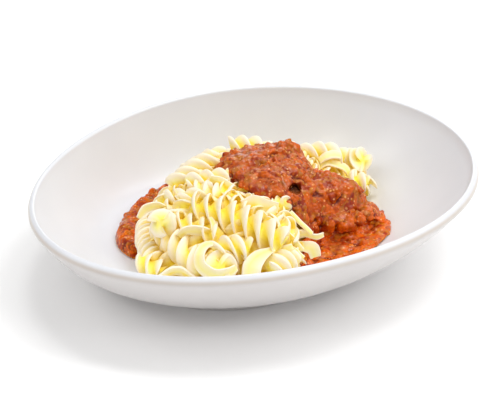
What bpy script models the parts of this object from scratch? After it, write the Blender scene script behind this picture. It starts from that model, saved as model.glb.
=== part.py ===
"""Spiral pasta with a thick meat sauce in an uneven oval porcelain bowl.

The bowl, the heap of pasta and the two areas of sauce are one closed solid each. The origin is
on the table under the middle of the bowl, +X is to the eater's right and +Y away from the eater.
Sizes below are in millimetres and are turned into metres where a mesh is made.
"""
import math

import bmesh
import bpy
from mathutils import Matrix, Vector, noise
from mathutils.bvhtree import BVHTree

MM = 0.001

# Bowl: the rim is a turned oval, a little three-cornered, and rises and falls as it goes round
RIM_LONG_HALF = 120.4
RIM_SHORT_HALF = 101.8
RIM_TURN = math.radians(32)
RIM_THREE_CORNERS = 0.013
RIM_HEIGHT = 48.6
RIM_RISE_RIGHT = 0.023
RIM_RISE_BACK = 0.018
RIM_SADDLE = 1.5
RIM_CENTRE = Vector((-1.3, 0.65))
FOOT_CENTRE = Vector((-17.8, 9.15))
FOOT_RADIUS = 61.0
FOOT_HEIGHT = 5.5
FOOT_WIDTH = 5.0
FOOT_DRAFT = 1.5
RECESS_HEIGHT = 4.5
WALL_THICKNESS = 5.5
LIP_THICKNESS = 4.4
WALL_BEND = 2.35
WALL_BEND_BACK = 0.85
BOWL_SIDES = 60
WALL_STEPS = (0.0, 0.14, 0.28, 0.42, 0.56, 0.70, 0.85, 1.0)
FLOOR_STEPS = (0.8, 0.5, 0.2)

# Food: what lies on something keeps this gap to it
GAP = 0.3
SAUCE_GAP = 0.5
RAY_TOP = 200.0
AROUND = 3.0
AROUND_POINTS = 8

# Heap of pasta: a bare core on the bowl's floor
CORE_CENTRE = Vector((0.0, 4.0))
CORE_OUTLINE = (
    (65, 44), (64, 59), (45, 70), (17, 71), (-9, 64), (-31, 49), (-48, 28), (-56, 6), (-57, -16),
    (-52, -38), (-31, -53), (-5, -57), (14, -48), (24, -30), (33, -8), (52, 7), (63, 22),
)
CORE_TOP = 36.0
CORE_DROP_RIGHT = 13.0
CORE_DROP_FROM_X = 14.0
CORE_DROP_TO_X = 38.0
CORE_FULLNESS = 3.4
CORE_ROUNDNESS = 0.6
CORE_FLOOR = 11.3
CORE_EDGE = 3.0
CORE_POINTS = 44
CORE_RINGS = 6

# Pasta spirals: three fins round a thin stem, twisted to the right
FIN_COUNT = 3
FIN_HALF_WIDTH = math.radians(9)
STEM_SHARE = 0.30
SPIRAL_STATION = 3.0
SPIRAL_STATIONS_LEAST = 8

# Each spiral: three points of its middle line in mm, fin radius, pitch and start turn in degrees
SPIRALS = {
    "front_long": ((-32, -21, 43), (-11, -35, 44), (12, -48, 37), 8.2, 21, 40),
    "front_left_end": ((-49, -21, 34), (-40, -38, 31), (-27, -56, 26), 7.6, 21, 10),
    "left_behind": ((-51, -2, 32), (-39, -8, 35), (-27, -17, 37), 7.2, 20, 70),
    "left_edge": ((-56, -8, 25), (-55, -24, 24), (-51, -42, 22), 6.6, 13, 0),
    "left_corner": ((-55, -36, 20), (-48, -45, 20), (-37, -54, 21), 6.4, 20, 50),
    "middle_left": ((-41, -28, 37), (-30, -34, 39), (-19, -42, 37), 6.6, 20, 15),
    "front_ring": ((-19, -62, 32), (-17, -54, 29), (-11, -47, 29), 8.0, 22, 90),
    "front_fan": ((-12, -58, 27), (-6, -50, 34), (-1, -46, 38), 7.4, 22, 20),
    "front_right": ((3, -60, 23), (9, -51, 26), (15, -46, 28), 7.4, 21, 100),
    "right_fin": ((5, -34, 40), (12, -34, 37), (17, -39, 31), 6.6, 20, 0),
    "right_low": ((12, -28, 36), (14.5, -32, 33), (15, -42, 27), 5.8, 19, 60),
    "middle_top": ((-10, -23, 46), (2, -28, 45), (11, -29, 41), 6.4, 20, 75),
    "top_left": ((-27.5, 26, 46), (-33, 17, 45), (-43, 20, 36), 7.6, 20, 30),
    "top_middle": ((-34, 5, 45), (-24, -3, 48), (-15, -16, 47), 7.2, 21, 0),
    "left_shoulder": ((-47, 12, 34), (-39, 4, 39), (-32, -9, 42), 6.8, 20, 50),
    "back_top": ((-12, 51, 42), (1, 54, 43), (14, 55, 42), 6.8, 20, 60),
    "back_shoulder": ((-36, 33, 34), (-27, 39, 38), (-17, 45, 39), 6.8, 20, 40),
    "back_right_long": ((25, 53, 38), (35, 52, 38), (45, 50, 34), 7.4, 20, 20),
    "back_right_end": ((51, 63, 28), (57, 58, 29), (62, 51, 30), 7.6, 19, 80),
    "right_back": ((53, 47, 27), (57, 41, 27), (61, 33, 24), 6.8, 19, 35),
    "back_left": ((-38, 43, 24), (-24, 53, 28), (-9, 60, 30), 7.2, 21, 15),
    "back_middle": ((0, 66, 28), (15, 68, 30), (30, 67, 28), 7.2, 20, 45),
    "back_low": ((-12, 70, 19), (3, 74, 20), (20, 76, 21), 6.6, 20, 0),
    "back_right_low": ((30, 72.5, 22.5), (41, 72.5, 23.5), (52, 68.5, 26.5), 6.6, 20, 25),
}

# Main sauce: it lies over the heap's top and right side and runs out into a pool in front
SAUCE_CENTRE = Vector((39.0, 4.0))
SAUCE_OUTLINE = (
    (71, 13), (66, 21), (58, 25), (46, 25), (36, 23), (30, 27), (24, 38), (13, 43), (-4, 42), (-15, 32),
    (-21, 17), (-14, 3), (-8, -9), (2, -17), (14, -19), (23, -19), (25, -24), (21.5, -33), (22, -38),
    (36, -33), (48, -26), (61, -13), (70, 1),
)
SAUCE_POINTS = 50
SAUCE_RINGS = 7
SAUCE_THICK = 8.3
SAUCE_THIN = 2.6
SAUCE_EDGE = 1.4
SAUCE_FULLNESS = 5
SAUCE_RISE = 12.0
SAUCE_LUMP = 1.2
SAUCE_LUMP_SIZE = 11.0
SAUCE_PEAK = Vector((17.0, 32.0))
SAUCE_PEAK_RISE = 4.5
SAUCE_PEAK_REACH = 12.0

# Second sauce: a narrow strip along the heap's left side, outer and inner edge, front to back
LEFT_OUTER = ((-64, -18), (-71, -9), (-74, 3), (-73, 14), (-70, 26), (-65, 39), (-56, 52), (-43, 62))
LEFT_INNER = ((-61, -17), (-60, -9), (-60, 2), (-59, 12), (-55, 23), (-49, 33), (-42, 42), (-35, 51))
LEFT_COLUMNS = 24
LEFT_ROWS = 6
LEFT_THICK = 6.5
LEFT_END_FULLNESS = 4


def make_material(name, colour, roughness):
    material = bpy.data.materials.new(name)
    material.use_nodes = True
    shader = material.node_tree.nodes["Principled BSDF"]
    shader.inputs["Base Color"].default_value = (*colour, 1.0)
    shader.inputs["Roughness"].default_value = roughness
    shader.inputs["Metallic"].default_value = 0.0
    return material


def split_into_triangles(mesh):
    shape = bmesh.new()
    shape.from_mesh(mesh)
    bmesh.ops.triangulate(shape, faces=shape.faces)
    shape.to_mesh(mesh)
    shape.free()


def make_object(name, vertices, faces, material):
    """A smooth-shaded object of triangles from vertices in millimetres."""
    mesh = bpy.data.meshes.new(name)
    mesh.from_pydata([Vector(vertex) * MM for vertex in vertices], [], faces)
    split_into_triangles(mesh)
    mesh.shade_smooth()
    if material is not None:
        mesh.materials.append(material)
    item = bpy.data.objects.new(name, mesh)
    bpy.context.scene.collection.objects.link(item)
    return item


def make_tree(item):
    """A search tree of an object's faces, in metres."""
    shape = bmesh.new()
    shape.from_mesh(item.data)
    tree = BVHTree.FromBMesh(shape)
    shape.free()
    return tree


def height_under(trees, x, y):
    """The highest surface under a point of the plan, in millimetres."""
    start = Vector((x, y, RAY_TOP)) * MM
    hits = [tree.ray_cast(start, Vector((0, 0, -1)))[0] for tree in trees]
    return max(hit.z for hit in hits if hit is not None) / MM


def height_around(trees, x, y):
    """The highest surface within a small circle of the plan, in millimetres."""
    heights = [height_under(trees, x, y)]
    for turn in range(AROUND_POINTS):
        angle = math.tau * turn / AROUND_POINTS
        heights.append(height_under(trees, x + AROUND * math.cos(angle), y + AROUND * math.sin(angle)))
    return max(heights)


def blend(low, high, value):
    """0 below low, 1 above high, and smooth between them."""
    share = min(1.0, max(0.0, (value - low) / (high - low)))
    return share * share * (3 - 2 * share)


def smooth_curve(points, count, closed):
    """Points at even steps along a smooth curve through the given plan points."""
    knots = [Vector(point) for point in points]
    spans = len(knots) if closed else len(knots) - 1
    curve = []
    for step in range(count):
        place = step * spans / (count if closed else count - 1)
        index = min(int(place), spans - 1)
        share = place - index
        around = []
        for offset in (-1, 0, 1, 2):
            wanted = index + offset
            if not closed:
                wanted = min(max(wanted, 0), len(knots) - 1)
            around.append(knots[wanted % len(knots)])
        before, start, end, after = around
        bend = 2 * before - 5 * start + 4 * end - after
        twist = 3 * start - before - 3 * end + after
        curve.append(0.5 * (2 * start + (end - before) * share + bend * share ** 2 + twist * share ** 3))
    return curve


def bridge(lower, upper):
    """Faces between two closed rings of vertex numbers, the upper further along the outside."""
    count = len(lower)
    faces = []
    for index in range(count):
        after = (index + 1) % count
        faces.append((lower[index], lower[after], upper[after], upper[index]))
    return faces


def rim_reach(angle):
    turned = angle - RIM_TURN
    across = math.hypot(RIM_SHORT_HALF * math.cos(turned), RIM_LONG_HALF * math.sin(turned))
    return RIM_LONG_HALF * RIM_SHORT_HALF / across * (1 + RIM_THREE_CORNERS * math.cos(3 * angle))


def rim_height(angle):
    place = RIM_CENTRE + rim_reach(angle) * Vector((math.cos(angle), math.sin(angle))) - FOOT_CENTRE
    slope = RIM_RISE_RIGHT * place.x + RIM_RISE_BACK * place.y
    return RIM_HEIGHT + slope - RIM_SADDLE * math.cos(2 * angle)


def wall_point(angle, level, inward):
    """A point of the wall, from the foot at level 0 to the rim at 1, moved inward from outside."""
    out = Vector((math.cos(angle), math.sin(angle)))
    foot = FOOT_CENTRE + FOOT_RADIUS * out
    rim = RIM_CENTRE + rim_reach(angle) * out
    run = (rim - foot).length
    rise = rim_height(angle) - FOOT_HEIGHT
    power = WALL_BEND + WALL_BEND_BACK * math.sin(angle)
    plan = foot.lerp(rim, level)
    height = FOOT_HEIGHT + rise * level ** power
    steepness = math.atan2(rise * power * level ** (power - 1), run)
    plan -= (rim - foot).normalized() * inward * math.sin(steepness)
    return Vector((plan.x, plan.y, height + inward * math.cos(steepness)))


def lip_rings(angle):
    """The rounded lip from the outer wall over the top to the inner wall."""
    outer = wall_point(angle, 1.0, 0.0)
    inner = wall_point(angle, 1.0, LIP_THICKNESS)
    middle = (outer + inner) / 2
    side = (inner - outer) / 2
    up = Vector((0, 0, 1)) * side.length
    return [middle - side * math.cos(turn) + up * math.sin(turn)
            for turn in (math.radians(45), math.radians(90), math.radians(135))]


def wall_inset(level):
    return WALL_THICKNESS + (LIP_THICKNESS - WALL_THICKNESS) * level


def foot_rings(angle):
    """The underside from the recess out to the foot's outer edge."""
    out = Vector((math.cos(angle), math.sin(angle)))
    profile = (
        (FOOT_RADIUS - FOOT_WIDTH - 2 * FOOT_DRAFT, RECESS_HEIGHT),
        (FOOT_RADIUS - FOOT_WIDTH - FOOT_DRAFT, 0.0),
        (FOOT_RADIUS - FOOT_DRAFT, 0.0),
    )
    places = [(FOOT_CENTRE + reach * out, height) for reach, height in profile]
    return [Vector((plan.x, plan.y, height)) for plan, height in places]


def floor_rings(angle):
    edge = wall_point(angle, 0.0, WALL_THICKNESS)
    centre = Vector((*FOOT_CENTRE, edge.z))
    return [centre.lerp(edge, step) for step in FLOOR_STEPS]


def make_bowl(material):
    columns = []
    for side in range(BOWL_SIDES):
        angle = math.tau * side / BOWL_SIDES
        column = foot_rings(angle)
        column += [wall_point(angle, level, 0.0) for level in WALL_STEPS]
        column += lip_rings(angle)
        column += [wall_point(angle, level, wall_inset(level)) for level in reversed(WALL_STEPS)]
        column += floor_rings(angle)
        columns.append(column)
    ring_count = len(columns[0])
    vertices = [column[ring] for ring in range(ring_count) for column in columns]
    rings = [[ring * BOWL_SIDES + side for side in range(BOWL_SIDES)] for ring in range(ring_count)]
    faces = []
    for lower, upper in zip(rings, rings[1:]):
        faces += bridge(lower, upper)
    vertices.append(Vector((*FOOT_CENTRE, RECESS_HEIGHT)))
    vertices.append(Vector((*FOOT_CENTRE, FOOT_HEIGHT + WALL_THICKNESS)))
    under, over = len(vertices) - 2, len(vertices) - 1
    for side in range(BOWL_SIDES):
        after = (side + 1) % BOWL_SIDES
        faces.append((rings[0][after], rings[0][side], under))
        faces.append((rings[-1][side], rings[-1][after], over))
    return make_object("bowl", vertices, faces, material)


def make_mound(name, outline, centre, rings, top, bottom, material):
    """A closed mound: rings shrunk towards its centre, with a top and a bottom height on each."""
    count = len(outline)
    shares = [1 - ring / rings for ring in range(rings)]
    plans = [[centre + (place - centre) * share for place in outline] for share in shares]
    vertices = []
    for height in (bottom, top):
        for share, plan in zip(shares, plans):
            vertices += [Vector((place.x, place.y, height(place, share))) for place in plan]
        vertices.append(Vector((centre.x, centre.y, height(centre, 0.0))))
    sheet = rings * count + 1
    low = [[ring * count + index for index in range(count)] for ring in range(rings)]
    high = [[sheet + number for number in ring] for ring in low]
    faces = bridge(low[0], high[0])
    for ring in range(rings - 1):
        faces += bridge(low[ring + 1], low[ring])
        faces += bridge(high[ring], high[ring + 1])
    for index in range(count):
        after = (index + 1) % count
        faces.append((low[-1][after], low[-1][index], sheet - 1))
        faces.append((high[-1][index], high[-1][after], 2 * sheet - 1))
    return make_object(name, vertices, faces, material)


def make_core(bowl_tree, material):
    outline = smooth_curve(CORE_OUTLINE, CORE_POINTS, closed=True)

    def bottom(place, share):
        return height_under([bowl_tree], place.x, place.y) + GAP

    def top(place, share):
        full = CORE_TOP - CORE_DROP_RIGHT * blend(CORE_DROP_FROM_X, CORE_DROP_TO_X, place.x)
        dome = CORE_FLOOR + full * (1 - share ** CORE_FULLNESS) ** CORE_ROUNDNESS
        return max(dome, bottom(place, share) + CORE_EDGE)

    return make_mound("core", outline, CORE_CENTRE, CORE_RINGS, top, bottom, material)


def spiral_line(points, count):
    """Even stations on the bend through a spiral's three points, each with its direction."""
    start, middle, end = [Vector(point) for point in points]
    control = 2 * middle - (start + end) / 2
    stations = []
    for step in range(count):
        share = step / (count - 1)
        place = start * (1 - share) ** 2 + control * 2 * share * (1 - share) + end * share ** 2
        direction = (control - start) * (1 - share) + (end - control) * share
        stations.append((place, direction.normalized()))
    return stations


def make_spiral(name, points, radius, pitch, start_turn):
    """One spiral of pasta as a closed twisted star."""
    start, middle, end = [Vector(point) for point in points]
    length = (middle - start).length + (end - middle).length
    count = max(SPIRAL_STATIONS_LEAST, round(length / SPIRAL_STATION) + 1)
    stations = spiral_line(points, count)
    side = stations[0][1].orthogonal().normalized()
    vertices = []
    third = math.tau / FIN_COUNT
    star = []
    for fin in range(FIN_COUNT):
        star.append((fin * third - FIN_HALF_WIDTH, radius))
        star.append((fin * third + FIN_HALF_WIDTH, radius))
        star.append((fin * third + third / 2, radius * STEM_SHARE))
    corners = len(star)
    for step, (place, direction) in enumerate(stations):
        side = (side - direction * side.dot(direction)).normalized()
        turn = math.radians(start_turn) + math.tau * length / pitch * step / (count - 1)
        for angle, reach in star:
            vertices.append(place + Matrix.Rotation(turn + angle, 3, direction) @ side * reach)
    rings = [[step * corners + corner for corner in range(corners)] for step in range(count)]
    faces = []
    for lower, upper in zip(rings, rings[1:]):
        faces += bridge(lower, upper)
    for place, ring, order in ((stations[0][0], rings[0], -1), (stations[-1][0], rings[-1], 1)):
        vertices.append(place)
        for corner in range(corners):
            pair = (ring[corner], ring[(corner + 1) % corners])
            faces.append((*pair[::order], len(vertices) - 1))
    return make_object(name, vertices, faces, None)


def connected_faces(shape):
    """The surfaces of a mesh, each a list of faces joined edge to edge."""
    found = set()
    surfaces = []
    for first in shape.faces:
        if first in found:
            continue
        found.add(first)
        surface = [first]
        for face in surface:
            for edge in face.edges:
                for other in edge.link_faces:
                    if other not in found:
                        found.add(other)
                        surface.append(other)
        surfaces.append(surface)
    return surfaces


def keep_outer_shell(mesh):
    """Keeps the largest surface: sealed hollows are filled and loose scraps dropped."""
    shape = bmesh.new()
    shape.from_mesh(mesh)
    bmesh.ops.triangulate(shape, faces=shape.faces)
    surfaces = sorted(connected_faces(shape), key=len)
    spare = [face for surface in surfaces[:-1] for face in surface]
    bmesh.ops.delete(shape, geom=spare, context="FACES")
    shape.to_mesh(mesh)
    shape.free()


def make_pasta(core, material):
    """The core with all spirals fused on by one union."""
    core.name = "pasta"
    group = bpy.data.collections.new("spirals")
    bpy.context.scene.collection.children.link(group)
    for name, (start, middle, end, radius, pitch, start_turn) in SPIRALS.items():
        spiral = make_spiral(name, (start, middle, end), radius, pitch, start_turn)
        bpy.context.scene.collection.objects.unlink(spiral)
        group.objects.link(spiral)
    union = core.modifiers.new("fuse", "BOOLEAN")
    union.operation = "UNION"
    union.operand_type = "COLLECTION"
    union.collection = group
    union.solver = "MANIFOLD"
    depsgraph = bpy.context.evaluated_depsgraph_get()
    fused = bpy.data.meshes.new_from_object(core.evaluated_get(depsgraph))
    core.modifiers.remove(union)
    keep_outer_shell(fused)
    core.data = fused
    fused.materials.clear()
    fused.materials.append(material)
    for spiral in list(group.objects):
        bpy.data.objects.remove(spiral)
    bpy.data.collections.remove(group)
    return core


def lump(place):
    return SAUCE_LUMP * noise.noise(Vector((place.x, place.y, 0)) / SAUCE_LUMP_SIZE)


def make_main_sauce(trees, material):
    outline = smooth_curve(SAUCE_OUTLINE, SAUCE_POINTS, closed=True)

    def bottom(place, share):
        return height_around(trees, place.x, place.y) + SAUCE_GAP

    def top(place, share):
        low = bottom(place, share)
        heaped = blend(0, SAUCE_RISE, low - FOOT_HEIGHT - WALL_THICKNESS - SAUCE_GAP)
        depth = SAUCE_THIN + (SAUCE_THICK - SAUCE_THIN) * heaped
        peak = SAUCE_PEAK_RISE * (1 - blend(0, SAUCE_PEAK_REACH, (place - SAUCE_PEAK).length))
        return low + SAUCE_EDGE + (depth + peak + lump(place)) * math.sqrt(1 - share ** SAUCE_FULLNESS)

    return make_mound("sauce_main", outline, SAUCE_CENTRE, SAUCE_RINGS, top, bottom, material)


def make_left_sauce(trees, material):
    """The strip: rows run from its outer to its inner edge, columns from front to back."""
    outer = smooth_curve(LEFT_OUTER, LEFT_COLUMNS, closed=False)
    inner = smooth_curve(LEFT_INNER, LEFT_COLUMNS, closed=False)
    low, high = [], []
    for column in range(LEFT_COLUMNS):
        along = 2 * column / (LEFT_COLUMNS - 1) - 1
        for row in range(LEFT_ROWS):
            across = row / (LEFT_ROWS - 1)
            place = outer[column].lerp(inner[column], across)
            floor = height_under(trees, place.x, place.y) + SAUCE_GAP
            edge = max(abs(2 * across - 1), abs(along) ** LEFT_END_FULLNESS)
            depth = SAUCE_EDGE + (LEFT_THICK + lump(place)) * math.sqrt(1 - edge ** 2)
            low.append(Vector((place.x, place.y, floor)))
            high.append(Vector((place.x, place.y, floor + depth)))
    sheet = len(low)
    faces = []
    for column in range(LEFT_COLUMNS - 1):
        for row in range(LEFT_ROWS - 1):
            corner = column * LEFT_ROWS + row
            quad = (corner, corner + 1, corner + LEFT_ROWS + 1, corner + LEFT_ROWS)
            faces.append(tuple(reversed(quad)))
            faces.append(tuple(number + sheet for number in quad))
    front = list(range(LEFT_ROWS))
    back = [(LEFT_COLUMNS - 1) * LEFT_ROWS + row for row in range(LEFT_ROWS)]
    inner_side = [column * LEFT_ROWS + LEFT_ROWS - 1 for column in range(1, LEFT_COLUMNS - 1)]
    outer_side = [column * LEFT_ROWS for column in range(1, LEFT_COLUMNS - 1)]
    loop = front + inner_side + list(reversed(back)) + list(reversed(outer_side))
    faces += bridge(loop, [number + sheet for number in loop])
    return make_object("sauce_left", low + high, faces, material)


def main():
    for item in list(bpy.data.objects):
        bpy.data.objects.remove(item)
    porcelain = make_material("porcelain", (0.86, 0.85, 0.84), 0.15)
    dough = make_material("cooked_pasta", (0.93, 0.80, 0.42), 0.40)
    sauce = make_material("meat_sauce", (0.50, 0.13, 0.04), 0.30)
    bowl = make_bowl(porcelain)
    bowl_tree = make_tree(bowl)
    core = make_core(bowl_tree, dough)
    trees = [bowl_tree, make_tree(core)]
    make_main_sauce(trees, sauce)
    make_left_sauce([bowl_tree], sauce)
    make_pasta(core, dough)


main()
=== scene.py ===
"""Looks of a bowl of spiral pasta with a thick meat sauce.

Sizes are in millimetres and become metres where a mesh is made. +X is to the right of the picture,
+Y away from the camera and +Z up. The origin is on the table under the middle of the bowl.
"""

import math

import bmesh
import bpy
import numpy as np
from mathutils import Matrix, Vector, noise
from mathutils.bvhtree import BVHTree
from mathutils.kdtree import KDTree


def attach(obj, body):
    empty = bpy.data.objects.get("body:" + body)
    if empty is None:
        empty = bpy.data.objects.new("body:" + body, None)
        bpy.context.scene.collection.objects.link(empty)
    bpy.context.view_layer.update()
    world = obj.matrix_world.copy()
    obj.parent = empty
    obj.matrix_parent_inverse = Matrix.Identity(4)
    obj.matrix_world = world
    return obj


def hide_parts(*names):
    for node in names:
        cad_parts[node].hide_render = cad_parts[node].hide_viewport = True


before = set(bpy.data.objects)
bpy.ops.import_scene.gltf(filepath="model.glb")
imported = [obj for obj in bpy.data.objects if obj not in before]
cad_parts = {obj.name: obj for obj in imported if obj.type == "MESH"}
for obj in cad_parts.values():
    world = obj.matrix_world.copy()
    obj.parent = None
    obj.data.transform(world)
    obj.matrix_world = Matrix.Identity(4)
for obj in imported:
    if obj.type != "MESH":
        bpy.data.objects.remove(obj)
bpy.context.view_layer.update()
MM = 0.001
SKY = 200
# From the food to the camera
FACING = Vector((0.0, -0.883, 0.469))

# Bowl
RIM_LONG_HALF = 120.15
RIM_SHORT_HALF = 101.6
RIM_TURN = math.radians(32)
RIM_THREE_CORNERS = 0.013
RIM_HEIGHT = 48.6
RIM_RISE_RIGHT = 0.023
RIM_RISE_BACK = 0.018
RIM_SADDLE = 1.5
RIM_CENTRE = Vector((-1.3, 0.65))
FOOT_CENTRE = Vector((-17.8, 9.15))
FOOT_RADIUS = 61.0
FOOT_HEIGHT = 5.5
FOOT_WIDTH = 5.0
FOOT_DRAFT = 1.5
RECESS_HEIGHT = 4.5
WALL_THICKNESS = 5.5
LIP_THICKNESS = 4.4
WALL_BEND = 2.35
WALL_BEND_BACK = 0.85
BOWL_SIDES = 240
WALL_LEVELS = 26
LIP_STEPS = 12
# Rings of the mesh where the outer wall's shade ends, and of the line under the lip
OUTSIDE_END_RINGS = (38, 42)
LIP_LINE_RING = 39.5

# Heap of pasta
GAP = 0.3
CORE_CENTRE = Vector((0.0, 4.0))
CORE_OUTLINE = (
    (65, 44), (64, 59), (45, 70), (17, 71), (-9, 64), (-31, 49), (-48, 28), (-56, 6), (-57, -16),
    (-52, -38), (-31, -53), (-5, -57), (14, -48), (24, -30), (33, -8), (52, 7), (63, 22),
)
CORE_TOP = 36.0
CORE_DROP_RIGHT = 13.0
CORE_DROP_BETWEEN = (14.0, 38.0)
CORE_FULLNESS = 3.4
CORE_ROUNDNESS = 0.6
CORE_FLOOR = 11.3
CORE_EDGE = 3.0
CORE_INSET = 7.0
CORE_SHRINK = 0.93
CORE_LEAST = 0.8
CORE_RELIEF = 2.0
CORE_RELIEF_WIDTH = 9.0
CORE_SHADE = 0.35

# Start, middle and end of the axis, radius, pitch, turn at the start and lean of the fins
SPIRALS = {
    "front_long": ((-32, -21, 43), (-11, -35, 44), (12, -48, 37), 8.9, 21, 35, -1.5),
    "front_left_end": ((-48, -24, 33), (-40, -38, 31.5), (-27, -56, 26), 7.6, 21, 10, 1.4),
    "pinwheel": ((-48.3, -37, 43), (-46, -31, 38.5), (-44, -25, 33), 7.5, 21, 30, -1.5),
    "left_behind": ((-50, -8, 33), (-39, -13, 35.5), (-27, -22, 36), 7.2, 20, 70, -1.5),
    "left_edge": ((-56, -8, 25), (-55, -24, 24), (-51, -42, 22), 6.6, 13, 0, 0.6),
    "left_corner": ((-57, -41, 24.5), (-53, -46, 23), (-48, -50, 21), 6.4, 20, 50, -1.5),
    "middle_left": ((-41, -28, 37), (-30, -34, 39), (-19, -42, 37), 6.6, 20, 15, -1.5),
    "front_ring": ((-19, -62, 32), (-17, -54, 29), (-11, -47, 29), 8.0, 22, 90, 0.6),
    "front_fan": ((-21.3, -51.8, 33.3), (-12.9, -50.6, 35.6), (-4.5, -51.1, 34.7), 7.3, 15.5, 20, -0.5),
    "front_right": ((5.2, -57, 27.5), (11.2, -52, 28), (17, -47.5, 26), 7.0, 15, 100, -1.2),
    "right_fin": ((5, -34, 40), (12, -34, 37), (17, -39, 31), 6.6, 20, 0, 1.4),
    "right_low": ((12, -28, 36), (14.5, -32, 33), (15, -42, 27), 5.8, 19, 60, 1.4),
    "front_under_left": ((-47, -57, 18.5), (-34, -60, 18), (-21, -61, 18), 6.0, 20, 0, -1.5),
    "front_under_right": ((-14, -60, 18.5), (-3, -59, 18.5), (8, -56, 18.5), 6.0, 20, 40, 1.4),
    "right_flank": ((16, -20, 29), (17, -28, 24), (16.5, -37, 20), 6.0, 20, 20, -1.5),
    "front_flank": ((10, -45, 19), (15, -39, 18.5), (21, -32, 18.5), 5.6, 20, 70, 1.4),
    "coil_end": ((13.6, -21.4, 44.7), (11.8, -16.4, 44), (10, -11.3, 43.3), 5.0, 15, 40, 1.4),
    "top_left": ((-42, 5.2, 40.1), (-32.5, 14.8, 44), (-21.9, 23.9, 46.9), 7.6, 20, 30, -1.5),
    "top_middle": ((-36, 0, 43.8), (-25, 2.1, 45.2), (-14.1, 3.5, 45.8), 7.2, 21, 0, -1.5),
    "left_shoulder": ((-46.5, -5, 37.5), (-37, -5, 38.5), (-27.5, -4, 38.5), 7.0, 20, 50, -1.5),
    "back_top": ((-13, 51, 41.5), (-2, 50.5, 42), (9, 48.5, 38), 7.0, 20, 60, -1.5),
    "back_shoulder": ((-36, 33, 34), (-27, 39, 38), (-17, 45, 39), 6.8, 20, 40, -1.5),
    "back_right_long": ((26.4, 48.6, 37.4), (36.8, 49.9, 37.9), (48.3, 49.3, 34.6), 7.6, 20, 20, -1.5),
    "back_right_end": ((51.5, 61.5, 27.5), (55.5, 56.5, 31), (59.5, 51.5, 34), 7.4, 14, 20, -0.5),
    "right_back": ((50.5, 38, 29), (55, 35, 28.5), (60, 33.5, 27), 6.4, 16, 35, -1.2),
    "back_left": ((-38, 43, 24), (-24, 53, 28), (-9, 60, 30), 7.2, 21, 15, -1.5),
    "back_middle": ((0, 66, 28), (15, 68, 30), (30, 67, 28), 7.2, 20, 45, -1.5),
    "back_low": ((-12, 70, 19), (3, 74, 20), (20, 76, 21), 6.6, 20, 0, -1.5),
    "back_right_low": ((30, 72.5, 22.5), (41, 72.5, 23.5), (52, 68.5, 26.5), 6.6, 20, 25, -1.5),
}

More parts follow.
